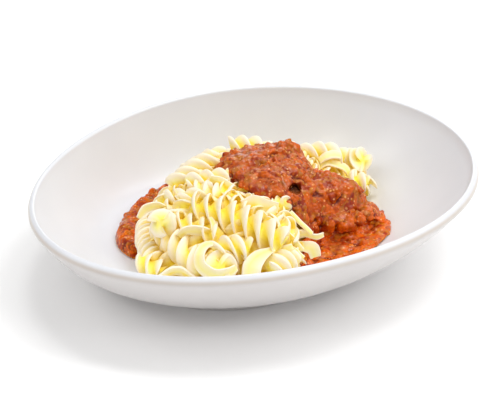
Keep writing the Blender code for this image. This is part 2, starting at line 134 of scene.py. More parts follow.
# Loose and torn fins: points along the middle, widths along it, half thickness, roll in degrees, cup
RIBBONS = {
    "crescent": (
        ((-22.2, -55, 41), (-26, -56.5, 40.2), (-28.4, -59.2, 37.3), (-27.9, -61.2, 33.4), (-25, -62.8, 30.5),
         (-20.2, -63.7, 28.8), (-14.9, -62.6, 29.8), (-11, -61, 31.7)),
        (2.5, 4.5, 5.5, 6.5, 7, 7, 6, 3.5), 0.9, 30, 1.0),
    "front_wave": (
        ((-49, -58.7, 23.5), (-45.1, -58.4, 26.2), (-41.6, -57.6, 27.7), (-38.2, -57.6, 27.7),
         (-34.8, -58.4, 26.2), (-30.5, -60, 23.2)),
        (5, 6, 7, 7, 6, 5), 0.8, 55, 0.8),
    "narrow_tip": (
        ((-23.7, -39.4, 47.2), (-22.2, -40.2, 43.5), (-20.3, -42.1, 40), (-18.3, -43.3, 35.6)),
        (1.8, 3.2, 5.5, 7), 0.8, -20, 0.6),
    "arched": (
        ((-39.5, -39.8, 37.1), (-36, -40.4, 40.2), (-32.1, -41, 41.3), (-27.2, -40.4, 40.2), (-22.2, -39.4, 37.9)),
        (4, 5.5, 6, 6, 5), 0.8, 40, 0.7),
    "leaf": (
        ((7.7, -53.2, 37.2), (4.5, -54.8, 36.4), (0.2, -56.3, 34.5), (-3, -59.3, 31.2), (-3.7, -61.6, 25.8)),
        (1.6, 4.2, 7.5, 9.5, 9), 0.8, 8, 0.9),
    "leaf_behind": (
        ((17.1, -45.1, 34.3), (12.2, -46.3, 32.2), (6.8, -47.9, 29.1), (3.8, -49.3, 26.5)), (3, 6, 7, 6), 0.8, 5, 0.6),
    "paddle": (
        ((-7.3, -25.1, 46), (-2.3, -25.3, 47.8), (3.7, -26.4, 46.7), (10.2, -26.3, 45.8)),
        (6.5, 8.5, 7.5, 5.5), 0.8, 12, 1.1),
    "crest_bit": (((-0.5, -34.6, 46), (1.5, -34.2, 46.7), (4, -35, 45.1)), (3, 3.4, 3), 0.7, 15, 0.4),
    "crest_bit_low": (((2.5, -35.2, 43), (5, -34.8, 43.9), (7.4, -35.5, 42.6)), (2.6, 3.4, 3), 0.7, 15, 0.4),
    "stem": (((16.2, -25.7, 43), (20.7, -27.8, 39), (27.2, -30.9, 33.3)), (2.6, 2.6, 2.4), 1.0, 0, 0.1),
    "lobe_left": (
        ((9.8, -28.9, 35.6), (10.7, -27.6, 40), (13.7, -26.7, 41.8), (16.3, -26.8, 39.6)),
        (4.5, 5.5, 5.5, 4.5), 0.8, 25, 0.9),
    "lobe_right": (
        ((11.7, -32.7, 33.1), (13.1, -31.4, 38.7), (15.6, -30, 40.2), (17.2, -30.3, 37.5), (16.7, -31.8, 32.6)),
        (5, 5.5, 5.5, 5, 4.5), 0.8, 25, 0.9),
    "strip_upper": (((14.4, -37.6, 37.5), (17.9, -39.4, 34), (22.3, -41.5, 30.1)), (2.6, 3.6, 2.6), 0.8, 20, 0.3),
    "strip_lower": (((15.3, -42.3, 32.2), (18.8, -43.4, 30), (22.7, -44.8, 27.4)), (2.4, 3.2, 2.2), 0.8, 0, 0.2),
    "right_wave": (
        ((18.4, -29.7, 29.7), (20.3, -29.4, 32.4), (23.9, -28.4, 32.2), (27.5, -28.1, 30.6), (30.5, -27.2, 30.1),
         (33.4, -25.9, 30.5)),
        (4.5, 5.5, 4.5, 3, 3.4, 2.6), 0.8, 35, 0.7),
    "right_slab": (
        ((20.4, -35, 29.8), (23.5, -36.8, 29.7), (27, -37.4, 28.6), (29.1, -38.1, 24.1)),
        (3.4, 5.5, 7, 5.5), 0.8, 10, 1.0),
    "back_slab": (
        ((34.9, 41.8, 38.1), (38.1, 41.6, 41), (42.4, 41.6, 42), (46.3, 41.8, 41.3)),
        (3.5, 5, 5.5, 4), 0.8, -30, 0.5),
    "back_band": (
        ((32.6, 41, 30.2), (35.3, 41.2, 35.2), (39.6, 41.2, 37.6), (44.5, 41.4, 36.6), (49.1, 42.2, 33.4),
         (51.4, 42.6, 29.5)),
        (4, 4.5, 4.5, 4.5, 4.5, 3.5), 0.9, -30, 0.6),
    "diagonal": (((-23.9, -6.4, 52), (-17.8, -7.6, 50.6), (-12.2, -9.7, 47.7)), (4, 5.5, 5), 0.8, 25, 0.6),
    "torn_left": (
        ((-60.4, -18.7, 35.8), (-56.8, -16.3, 39.8), (-51.5, -14.8, 41), (-47.5, -12.5, 38.5)),
        (2.5, 5.5, 5, 4), 0.7, 40, 0.9),
}

# Sauces
SAUCE_GAP = 0.5
SAUCE_CENTRE = Vector((39.0, 4.0))
SAUCE_OUTLINE = (
    (71, 13), (66, 21), (58, 25), (46, 25), (36, 23), (30, 27), (24, 38), (13, 43), (-4, 42), (-15, 32),
    (-21, 17), (-14, 3), (-8, -9), (2, -17), (14, -19), (23, -19), (25, -24), (21.5, -33), (22, -38),
    (36, -33), (48, -26), (61, -13), (70, 1),
)
SAUCE_THICK = 8.3
SAUCE_THIN = 2.6
SAUCE_FULLNESS = 5
SAUCE_RISE = 12.0
SAUCE_BUMPS = (
    (-9, 22, 13, 1.0), (4, 28, 9, -4.0), (17, 28, 7, 2.0), (20, 14, 10, 1.0), (0, -3, 9, 1.5), (11, -2, 9, 1.5),
    (44, 14, 18, 5.5), (54, 14, 13, 4.5), (36, 5, 12, 3.5), (48, 6, 10, 2.0), (30, 12, 9, -1.5),
)
# A hollow facing the camera: where it opens, its half width and its depth
SAUCE_HOLE = ((19.5, -6.4, 46.0), 3.4, 7.0)
SAUCE_BLOBS = (
    (16.5, 29, 50.3, 7, 5.5, 6.5), (-3, -6, 43, 7, 5, 5), (8, -8, 43, 7, 5, 5), (-13, 6, 45, 5, 5, 4.5),
    (26, 0, 34, 6, 5, 6), (29, -3, 27, 6, 5, 6), (37, -2, 24.5, 6.5, 5.5, 5.5), (44.5, 0, 23.5, 6.5, 5.5, 5),
    (51, 4, 22.5, 6, 5, 5), (58, 10, 22.5, 6, 5.5, 5), (64, 13, 18, 5.5, 5.5, 4.5), (60, 17, 21, 5.5, 5, 4.5),
)
LEFT_OUTER = ((-64, -18), (-71, -9), (-74, 3), (-73, 14), (-70, 26), (-65, 39), (-56, 52), (-43, 62))
LEFT_INNER = ((-61, -17), (-60, -9), (-60, 2), (-59, 12), (-55, 23), (-50, 33), (-45, 43), (-40, 55))
LEFT_THICK = 6.5
LEFT_END_FULLNESS = 3
SAUCE_VOXEL = 0.5
RELAXING = 3


# Small tools

def blend(low, high, value):
    share = min(1.0, max(0.0, (value - low) / (high - low)))
    return share * share * (3 - 2 * share)


def smooth_curve(points, count, closed):
    """Even places on a smooth line through the points."""
    knots = [Vector(point) for point in points]
    spans = len(knots) if closed else len(knots) - 1
    knots = knots[-1:] + knots + knots[:2] if closed else knots[:1] + knots + knots[-1:]
    curve = []
    for step in range(count):
        place = step * spans / (count if closed else count - 1)
        index = min(int(place), spans - 1)
        share = place - index
        before, start, end, after = knots[index:index + 4]
        bend = 2 * before - 5 * start + 4 * end - after
        twist = 3 * start - before - 3 * end + after
        curve.append(0.5 * (2 * start + (end - before) * share + bend * share ** 2 + twist * share ** 3))
    return curve


def bridge(lower, upper):
    """The band of faces between two rings of corners."""
    count = len(lower)
    return [(lower[i], lower[(i + 1) % count], upper[(i + 1) % count], upper[i]) for i in range(count)]


def sleeve(rings, corners):
    """The faces from ring to ring of a mesh made of rings with as many corners each."""
    faces = []
    for ring in range(rings - 1):
        lower = range(ring * corners, (ring + 1) * corners)
        faces += bridge(lower, [number + corners for number in lower])
    return faces


def close_ends(lower, upper, below, above):
    """The triangles from a ring to the corner below it, and from another to the corner above it."""
    faces = []
    for index in range(len(lower)):
        after = (index + 1) % len(lower)
        faces += [(lower[after], lower[index], below), (upper[index], upper[after], above)]
    return faces


def add_object(name, data):
    item = bpy.data.objects.new(name, data)
    bpy.context.scene.collection.objects.link(item)
    return item


def make_piece(name, vertices, faces, material, sharp=None, **values):
    """A smooth-shaded mesh object from vertices in millimetres, with a number per vertex for each value."""
    mesh = bpy.data.meshes.new(name)
    mesh.from_pydata((np.asarray(vertices, float) * MM).tolist(), [], faces)
    mesh.shade_smooth()
    if sharp is not None:
        mesh.set_sharp_from_angle(angle=math.radians(sharp))
    for label, numbers in values.items():
        numbers = np.asarray(numbers, np.float32)
        kind, field = ("FLOAT", "value") if numbers.ndim == 1 else ("FLOAT_COLOR", "color")
        mesh.attributes.new(label, kind, "POINT").data.foreach_set(field, numbers.ravel())
    mesh.materials.append(material)
    return add_object(name, mesh)


def make_tree(vertices, faces):
    return BVHTree.FromPolygons([Vector(v) for v in vertices], faces)


def height_under(trees, x, y):
    """The top of what lies at a place, or None where nothing does."""
    hits = [tree.ray_cast(Vector((x, y, SKY)), Vector((0, 0, -1)))[0] for tree in trees]
    return max((hit.z for hit in hits if hit is not None), default=None)


def as_part(vertices, faces, value=0.0):
    """Vertices, faces and one number for each vertex, as join takes them."""
    return np.array(vertices, float), list(faces), np.full(len(vertices), value)


def join(parts):
    """Several (vertices, faces, values) as one."""
    vertices, faces, values, start = [], [], [], 0
    for some, polygons, numbers in parts:
        vertices.append(some)
        faces += [tuple(number + start for number in polygon) for polygon in polygons]
        values.append(numbers)
        start += len(some)
    return np.vstack(vertices), faces, np.concatenate(values)


def tree_of(parts):
    return make_tree(*join(parts)[:2])


def out_directions(places, faces):
    """The direction straight out of the surface at each vertex."""
    quads = np.array([face if len(face) == 4 else (*face[:3], face[2]) for face in faces])
    first, second, third, fourth = (places[quads[:, corner]] for corner in range(4))
    face_out = np.cross(third - first, fourth - second)
    flat = quads[:, 2] == quads[:, 3]
    face_out[flat] = np.cross(second[flat] - first[flat], third[flat] - first[flat])
    out = np.zeros_like(places)
    for corner in range(4):
        np.add.at(out, quads[:, corner], face_out)
    return out / np.maximum(np.linalg.norm(out, axis=1), 1e-9)[:, None]


# Bowl

def rim_reach(angle):
    turned = angle - RIM_TURN
    across = math.hypot(RIM_SHORT_HALF * math.cos(turned), RIM_LONG_HALF * math.sin(turned))
    return RIM_LONG_HALF * RIM_SHORT_HALF / across * (1 + RIM_THREE_CORNERS * math.cos(3 * angle))


def rim_height(angle):
    place = RIM_CENTRE + rim_reach(angle) * Vector((math.cos(angle), math.sin(angle))) - FOOT_CENTRE
    return RIM_HEIGHT + RIM_RISE_RIGHT * place.x + RIM_RISE_BACK * place.y - RIM_SADDLE * math.cos(2 * angle)


def wall_point(angle, level, inward):
    """A place on the wall, level 0 at the foot and 1 at the rim, so far in from the outer surface."""
    out = Vector((math.cos(angle), math.sin(angle)))
    foot = FOOT_CENTRE + FOOT_RADIUS * out
    rim = RIM_CENTRE + rim_reach(angle) * out
    run = (rim - foot).length
    rise = rim_height(angle) - FOOT_HEIGHT
    power = WALL_BEND + WALL_BEND_BACK * math.sin(angle)
    plan = foot.lerp(rim, level)
    height = FOOT_HEIGHT + rise * level ** power
    steepness = math.atan2(rise * power * level ** (power - 1), run)
    plan -= (rim - foot).normalized() * inward * math.sin(steepness)
    return Vector((plan.x, plan.y, height + inward * math.cos(steepness)))


def bowl_column(angle):
    """One section of the bowl, from the recess under it over the rim to the middle of the floor."""
    out = Vector((math.cos(angle), math.sin(angle)))
    inner = FOOT_RADIUS - FOOT_WIDTH - FOOT_DRAFT
    outer = FOOT_RADIUS - FOOT_DRAFT
    profile = (
        (inner - 30, RECESS_HEIGHT), (inner - 5, RECESS_HEIGHT), (inner - 2.2, RECESS_HEIGHT - 0.15),
        (inner - 1.2, RECESS_HEIGHT - 0.8), (inner - 0.5, 1.0), (inner + 0.1, 0.25), (inner + 0.7, 0.0),
        (outer - 0.7, 0.0), (outer - 0.1, 0.25), (outer + 0.3, 1.0), (outer + 0.9, 3.6),
    )
    column = [Vector((*(FOOT_CENTRE + reach * out), height)) for reach, height in profile]
    levels = [0.045 + 0.955 * step / WALL_LEVELS for step in range(WALL_LEVELS + 1)]
    column += [wall_point(angle, level, 0.0) for level in levels]
    over, under = wall_point(angle, 1.0, 0.0), wall_point(angle, 1.0, LIP_THICKNESS)
    middle, side = (over + under) / 2, (under - over) / 2
    for turn in range(1, LIP_STEPS):
        swing = math.pi * turn / LIP_STEPS
        column.append(middle - side * math.cos(swing) + Vector((0, 0, side.length)) * math.sin(swing))
    for level in levels[::-1] + [0.0]:
        column.append(wall_point(angle, level, WALL_THICKNESS + (LIP_THICKNESS - WALL_THICKNESS) * level))
    edge = column[-1]
    centre = Vector((*FOOT_CENTRE, edge.z))
    column += [centre.lerp(edge, step) for step in (0.85, 0.6, 0.3)]
    return column


def bowl_mesh():
    """The whole bowl as closed rings, with one vertex in the middle below and one above."""
    columns = [bowl_column(math.tau * side / BOWL_SIDES) for side in range(BOWL_SIDES)]
    vertices = [tuple(place) for ring in zip(*columns) for place in ring]
    base = len(vertices)
    faces = sleeve(base // BOWL_SIDES, BOWL_SIDES)
    faces += close_ends(range(BOWL_SIDES), range(base - BOWL_SIDES, base), base, base + 1)
    return vertices + [(*FOOT_CENTRE, RECESS_HEIGHT), (*FOOT_CENTRE, FOOT_HEIGHT + WALL_THICKNESS)], faces


# Core and mounds

def mound_mesh(outline, centre, rings, top, bottom):
    """A closed mound inside an outline, between two heights that depend on the place and how near the edge it is."""
    count = len(outline)
    shares = [1 - ring / rings for ring in range(rings)]
    plans = [[centre + (place - centre) * share for place in outline] for share in shares]
    vertices = []
    for height in (bottom, top):
        for share, plan in zip(shares, plans):
            vertices += [(place.x, place.y, height(place, share)) for place in plan]
        vertices.append((centre.x, centre.y, height(centre, 0.0)))
    sheet = rings * count + 1
    low = [[ring * count + index for index in range(count)] for ring in range(rings)]
    high = [[sheet + number for number in ring] for ring in low]
    faces = bridge(low[0], high[0])
    for ring in range(rings - 1):
        faces += bridge(low[ring + 1], low[ring])
        faces += bridge(high[ring], high[ring + 1])
    faces += close_ends(low[-1], high[-1], sheet - 1, 2 * sheet - 1)
    return vertices, faces


def core_height(place, share, floor):
    full = CORE_TOP - CORE_DROP_RIGHT * blend(*CORE_DROP_BETWEEN, place.x)
    dome = CORE_FLOOR + full * (1 - share ** CORE_FULLNESS) ** CORE_ROUNDNESS
    return max(dome, floor + CORE_EDGE)


def core_mesh(bowl_tree, count, rings, inset, rough, shrink):
    curve = smooth_curve(CORE_OUTLINE, count, closed=True)
    outline = [CORE_CENTRE + (place - CORE_CENTRE) * shrink for place in curve]

    def bottom(place, share):
        return height_under([bowl_tree], place.x, place.y) + GAP

    def top(place, share):
        low = bottom(place, share)
        bump = rough * noise.noise(Vector((place.x, place.y, 3.0)) / CORE_RELIEF_WIDTH)
        return max(core_height(place, share, low) - inset + bump, low + CORE_LEAST)

    return mound_mesh(outline, CORE_CENTRE, rings, top, bottom)


# Pasta

FINS = 3
STATION = 0.75
FILLER_STATION = 1.2
FIN_THICK = 1.1
STEM = 2.2
TIP_TURNS = (-75, -45, -15, 15, 45, 75)
SIDE_STEPS = (0.12, 0.36, 0.66, 1.0)
END_TRIM = 0.32
WIDEST_FOOT = math.radians(54)
# How much the twist, the axis, and each fin's reach, thickness and place wander
TWIST_WANDER, AXIS_WANDER = 0.16, 0.5
REACH_WANDER, SLAB_WANDER, FIN_WANDER = 0.05, 0.10, 0.10
RIBBON_STATION = 0.7
RIBBON_TRIM = 0.35
ROUND_TURNS = (-72, -36, 0, 36, 72)
# Fillers: how many, how far from others, how deep in the heap, and whether they keep clear of what is laid
FILLS = ((12, 10.5, 0.5, True), (12, 8.5, -2.0, True), (62, 9.0, -3.5, False))
FILLER_TRIES = 90
FILLER_PITCH = (19.5, 21.5)
FILLER_TURN = (0, 120)
LEANS = (1.4, -1.5)
AXIS_SAMPLES = 7
SPOT_STEP = 2.5
SPOT_APART = 4.5
PATCH_SINKS = (-1.5, -3.0, -4.5, -6.0)
PATCH_TRIES = 6
SAUCE_CLEARANCE = 2.2
# Rays from every so many vertices find how hidden a place is, which sets the pasta's painted shade and glow in
# crevices
CREVICE_RAYS = 10
CREVICE_REACH = 16.0
CREVICE_APART = 4


def bend_line(points, count):
    """Even places on the bend through three points, with the direction at each."""
    start, middle, end = [np.array(point, float) for point in points]
    control = 2 * middle - (start + end) / 2
    share = np.linspace(0, 1, count)[:, None]
    places = start * (1 - share) ** 2 + control * 2 * share * (1 - share) + end * share ** 2
    along = (control - start) * (1 - share) + (end - control) * share
    return places, along / np.linalg.norm(along, axis=1)[:, None]


def carry_side(directions):
    """A sideways direction at each place of a line, carried along it without twisting."""
    side = Vector(directions[0]).orthogonal().normalized()
    sides = []
    for direction in directions:
        direction = Vector(direction)
        side = (side - direction * side.dot(direction)).normalized()
        sides.append(tuple(side))
    return np.array(sides)


def wave(rng, share, lobes):
    """A smooth random wave of about unit height along a piece."""
    total = np.zeros_like(share)
    for lobe in range(1, lobes + 1):
        rise = math.sin(rng.uniform(0, math.tau))
        total += rise * np.cos(math.pi * lobe * share + rng.uniform(0, math.tau)) / lobe ** 0.5
    return total / 1.5


def spiral_mesh(points, radius, pitch, start_turn, lean, rng, station=STATION):
    """One spiral: three fins round a stem, twisted to the right, with rounded edges and cut ends."""
    start, middle, end = [np.array(point, float) for point in points]
    length = np.linalg.norm(middle - start) + np.linalg.norm(end - middle)
    count = max(14, int(length / station))
    places, directions = bend_line(points, count)
    sides = carry_side(directions)
    ups = np.cross(directions, sides)
    share = np.linspace(0, 1, count)
    turn = math.radians(start_turn) + math.tau * length / pitch * share
    turn = turn + TWIST_WANDER * wave(rng, share, 3)
    places = places + sides * (AXIS_WANDER * wave(rng, share, 2))[:, None]
    rings = []
    tips = []
    trim = np.zeros(count)
    trim[[0, -1]] = END_TRIM
    for fin in range(FINS):
        reach = radius * (1 + REACH_WANDER * wave(rng, share, 4)) - trim
        slab = FIN_THICK * (1 + SLAB_WANDER * wave(rng, share, 3)) - trim
        shift = FIN_WANDER * wave(rng, share, 4)
        centre = turn + fin * math.tau / FINS + shift
        flanks = []
        for step in SIDE_STEPS:
            r = STEM + (reach - slab - STEM) * step
            half = slab * (1.25 - 0.6 * step) * np.sqrt(1 / r ** 2 + (math.tau / pitch) ** 2)
            flanks.append((r, np.minimum(half, WIDEST_FOOT)))
        wide = 0.65 * slab * np.sqrt(1 / reach ** 2 + (math.tau / pitch) ** 2)
        contour = [(STEM - trim, -math.pi / FINS, -shift)]
        contour += [(r, -half, 0.0) for r, half in flanks]
        for swing in np.radians(TIP_TURNS):
            contour.append((reach - 0.6 * slab * (1 - math.cos(swing)), wide * math.sin(swing), 0.0))
        contour += [(r, half, 0.0) for r, half in reversed(flanks)]
        for r, offset, back in contour:
            angle = centre + back + offset + lean * ((r - STEM) / radius) ** 2
            rings.append(places + (sides * np.cos(angle)[:, None] + ups * np.sin(angle)[:, None]) * r[:, None])
            # How far out along the fin, which sets the painted paler tips and deeper roots of the pasta's colour
            tips.append(np.clip((r - STEM) / (radius - STEM), 0, 1))
    corners = len(rings)
    vertices = np.stack(rings, axis=1).reshape(-1, 3)
    tip = np.stack(tips, axis=1).reshape(-1)
    base = len(vertices)
    vertices = np.vstack([vertices, places[0] + directions[0] * 0.1, places[-1] - directions[-1] * 0.1])
    tip = np.append(tip, [0.1, 0.1])
    faces = sleeve(count, corners) + close_ends(range(corners), range(base - corners, base), base, base + 1)
    return vertices, faces, tip


def ribbon_mesh(points, widths, thick, roll, cup, rng):
    """One fin by itself: a band along a smooth line, as wide as given at each point, with rounded edges."""
    length = sum((Vector(b) - Vector(a)).length for a, b in zip(points, points[1:]))
    count = max(10, int(length / RIBBON_STATION))
    line = smooth_curve(points, count, closed=False)
    wide = np.interp(np.linspace(0, len(widths) - 1, count), range(len(widths)), widths)
    vertices, tips = [], []
    ripple = rng.uniform(0, 50)
    for step in range(count):
        ahead = (line[min(step + 1, count - 1)] - line[max(step - 1, 0)]).normalized()
        side = ahead.cross(FACING).normalized()
        side = Matrix.Rotation(math.radians(roll), 3, ahead) @ side
        flat = side.cross(ahead).normalized()
        trim = RIBBON_TRIM if step in (0, count - 1) else 0.0
        half = thick * (1 + 0.12 * noise.noise(Vector((step * 0.2, ripple, 0)))) - trim
        reach = max(wide[step] / 2 - half, 0.2)
        wander = 0.5 * noise.noise(Vector((step * 0.13, ripple, 9)))
        ring = []
        for sign in (1, -1):
            for swing in np.radians(ROUND_TURNS):
                ring.append((sign * (reach + half * math.cos(swing)), sign * half * math.sin(swing)))
            ring.append((sign * reach * 0.35, sign * half))
        for across, rise in ring:
            outward = (across / (reach + half)) ** 2
            vertices.append(line[step] + side * (across + wander) + flat * (rise + cup * (outward - 0.5)))
            # Paler towards the band's edges, as painted light in the pasta's colour
            tips.append(0.30 + 0.65 * outward)
    corners = len(ring)
    faces = [face[::-1] for face in sleeve(count, corners)]
    faces += [tuple(range(corners)), tuple(reversed(range((count - 1) * corners, count * corners)))]
    return np.array([tuple(v) for v in vertices]), faces, np.array(tips)


def sample_axis(points):
    return bend_line(points, AXIS_SAMPLES)[0]


def lie_down(ground, middle, reach, bow, radii, sink, rng):
    """A random axis on the heap with its radius. The axis is None where one of its ends is off the heap."""
    heading = rng.uniform(0, math.tau)
    ahead, side = np.array((math.cos(heading), math.sin(heading))), np.array((-math.sin(heading), math.cos(heading)))
    half = rng.uniform(*reach) * ahead
    bend = rng.uniform(-bow, bow) * side if bow else 0.0
    radius = rng.uniform(*radii)
    points = [(x, y, ground(x, y, radius, sink)) for x, y in (middle - half, middle + bend, middle + half)]
    return None if None in [height for _, _, height in points] else points, radius


def lay_fillers(ground, taken, covered, wanted, apart, sink, rng):
    """Spirals lying in the gaps of the heap, found by trying places and keeping those that are free."""
    found = []
    for _ in range(wanted * FILLER_TRIES):
        middle = np.array((rng.uniform(-58, 66), rng.uniform(-58, 72)))
        points, radius = lie_down(ground, middle, (10, 17), 3, (6.5, 7.6), sink, rng)
        if points is None:
            continue
        if abs(points[0][2] - points[2][2]) > 24 or points[1][2] < min(points[0][2], points[2][2]) - 1.5:
            continue
        axis = sample_axis(points)
        if taken and min(np.linalg.norm(axis[:, None] - other[None], axis=2).min() for other in taken) < apart:
            continue
        if any(covered(place, radius) for place in axis):
            continue
        taken.append(axis)
        found.append((points, radius, rng.uniform(*FILLER_PITCH), rng.uniform(*FILLER_TURN)))
        if len(found) == wanted:
            break
    return found


def lay_spirals(laid, seed):
    return [
        spiral_mesh(*values, LEANS[number % 2], np.random.default_rng(seed + number), FILLER_STATION)
        for number, values in enumerate(laid)]


def patch_bare_spots(core, shown, ground, covered, rng):
    """Short spirals on the places where the core would be seen from above."""
    spots = []
    for x in np.arange(-60, 70, SPOT_STEP):
        for y in np.arange(-60, 76, SPOT_STEP):
            floor = height_under([core], x, y)
            roof = height_under([shown], x, y)
            if floor is not None and (roof is None or roof < floor):
                spots.append((x, y))
    found, axes = [], []
    for index in rng.permutation(len(spots)):
        middle = np.array(spots[index])
        if axes and min(np.linalg.norm(axis[:, :2] - middle, axis=1).min() for axis in axes) < SPOT_APART:
            continue
        for sink in np.repeat(PATCH_SINKS, PATCH_TRIES):
            points, radius = lie_down(ground, middle, (6, 10), 0, (6.0, 7.0), sink, rng)
            if points is None or abs(points[0][2] - points[2][2]) > 14:
                continue
            axis = sample_axis(points)
            if any(covered(place, radius) for place in axis):
                continue
            found.append((points, radius, rng.uniform(*FILLER_PITCH), rng.uniform(*FILLER_TURN)))
            axes.append(axis)
            break
    return found


def hidden_share(places, faces, tree):
    """How far each vertex lies in a crevice, 0 in the open and 1 deep inside."""
    out = out_directions(places, faces)
    chosen = range(0, len(places), CREVICE_APART)
    near = KDTree(len(chosen))
    shares = []
    for number, index in enumerate(chosen):
        normal = Vector(out[index])
        start = Vector(places[index]) + normal * 0.25
        side = normal.orthogonal()
        ahead = normal.cross(side)
        blocked = 0.0
        for ray in range(CREVICE_RAYS):
            turn = math.tau * (ray / CREVICE_RAYS + 0.37 * number)
            lean = math.sqrt((ray + 0.5) / CREVICE_RAYS)
            way = (side * math.cos(turn) + ahead * math.sin(turn)) * lean + normal * math.sqrt(1 - lean ** 2)
            hit, _, _, distance = tree.ray_cast(start, way, CREVICE_REACH)
            if hit is not None:
                blocked += 1 - 0.5 * distance / CREVICE_REACH
        shares.append(blocked / CREVICE_RAYS)
        near.insert(Vector(places[index]) + normal * 1.5, number)
    near.balance()
    result = []
    for place, normal in zip(places, out):
        found = near.find_n(Vector(place) + Vector(normal) * 1.5, 4)
        result.append(sum(shares[index] for _, index, _ in found) / len(found))
    return result


# Materials

def new_material(name):
    """A material, its nodes, its shader and the place on the object."""
    material = bpy.data.materials.new(name)
    material.use_nodes = True
    tree = material.node_tree
    return material, tree, tree.nodes["Principled BSDF"], add_node(tree, "TexCoord", "Object")


def give(entry, value):
    """Links an input to a socket, or sets its number or colour."""
    if isinstance(value, bpy.types.NodeSocket):
        entry.id_data.links.new(value, entry)
    else:
        entry.default_value = value


def set_inputs(node, **values):
    """Gives a node's inputs their values, by their labels with _ for each space."""
    for label, value in values.items():
        give(node.inputs[label.replace("_", " ")], value)


def add_node(tree, kind, output, **settings):
    """The output of a new node with these properties and inputs."""
    node = tree.nodes.new("ShaderNode" + kind)
    for label, value in settings.items():
        if hasattr(node, label):
            setattr(node, label, value)
        else:
            set_inputs(node, **{label: value})
    return node.outputs[output]


def add_value(tree, name, output="Fac"):
    return add_node(tree, "Attribute", output, attribute_name=name)


def add_noise(tree, place, scale, detail):
    return add_node(tree, "TexNoise", "Fac", Vector=place, Scale=scale, Detail=detail)


def add_bump(tree, height, strength, distance):
    return add_node(tree, "Bump", "Normal", Height=height, Strength=strength, Distance=distance)


def add_range(tree, value, low, high, top):
    """From 0 at the low value to the top share at the high one."""
    return add_node(tree, "MapRange", "Result", Value=value, From_Min=low, From_Max=high, To_Max=top)


def add_mix(tree, share, first, second, way="MIX"):
    return add_node(tree, "Mix", "Result", data_type="RGBA", blend_type=way, Factor=share, A=first, B=second)


def add_math(tree, operation, *values):
    result = add_node(tree, "Math", "Value", operation=operation)
    for entry, value in zip(result.node.inputs, values):
        give(entry, value)
    return result


def add_ramp(tree, value, *stops):
    result = add_node(tree, "ValToRGB", "Color", Fac=value)
    elements = result.node.color_ramp.elements
    for element, (place, colour) in zip(elements, stops):
        element.position = place
        element.color = (*colour, 1.0)
    for place, colour in stops[2:]:
        elements.new(place).color = (*colour, 1.0)
    return result


def porcelain_material():
    material, tree, shader, place = new_material("porcelain_glaze")
    tint = add_noise(tree, place, 26.0, 3.0)
    colour = add_ramp(tree, tint, (0.3, (0.765, 0.775, 0.81)), (0.7, (0.795, 0.805, 0.84)))
    # Painted shade on the outer wall: darker and warmer than the same glaze inside, standing in for shade and warm
    # bounced light
    colour = add_mix(tree, add_value(tree, "outside"), colour, (0.87, 0.82, 0.77, 1), "MULTIPLY")
    colour = add_mix(tree, add_value(tree, "line"), colour, (0.88, 0.80, 0.70, 1), "MULTIPLY")
    ripple = add_bump(tree, add_noise(tree, place, 55.0, 1.0), 0.05, 0.0006)
    set_inputs(shader, Base_Color=colour, Roughness=0.28, Normal=ripple)
    return material


def pasta_material():
    """Painted light and shade: paler towards the fins' tips and deeper yellow towards their roots in the grooves, a
    deeper yellow in crevices, and a faint painted glow, strongest there, for light going through.
    """
    material, tree, shader, place = new_material("cooked_pasta_looks")
    # Noise mottle plus the fin tip: the paler tips and deeper yellow roots in the grooves are painted light and shade
    mottle_and_tip_shading = add_math(tree, "MULTIPLY_ADD", add_noise(tree, place, 180.0, 3.0), 0.35, add_value(tree, "tip"))
    colour = add_ramp(
        tree, mottle_and_tip_shading, (0.15, (0.975, 0.85, 0.11)), (0.42, (0.98, 0.89, 0.29)), (0.8, (0.985, 0.89, 0.56)),
        (1.0, (0.985, 0.88, 0.70)))
    # Painted glow: a faint emission standing in for light going through the pasta, stronger towards the fin roots
    painted_glow = add_ramp(tree, mottle_and_tip_shading, (0.2, (0.065, 0.038, 0.0)), (1.0, (0.03, 0.018, 0.0)))
    # Painted shade: a deeper yellow, and more painted glow, where the vertex lies in a crevice
    crevice_shade = add_range(tree, add_value(tree, "hidden"), 0.48, 0.98, 0.86)
    colour = add_mix(tree, crevice_shade, colour, (0.97, 0.74, 0.05, 1))
    painted_glow = add_mix(tree, crevice_shade, painted_glow, (0.06, 0.030, 0.0, 1))
    grain = add_bump(tree, add_noise(tree, place, 900.0, 2.0), 0.25, 0.0002)
    set_inputs(
        shader, Base_Color=colour, Roughness=0.34, Normal=grain, Specular_IOR_Level=0.12, Subsurface_Weight=0.25,
        Subsurface_Radius=(1.0, 0.95, 0.8), Subsurface_Scale=0.0010, Emission_Color=painted_glow, Emission_Strength=1.0)
    return material


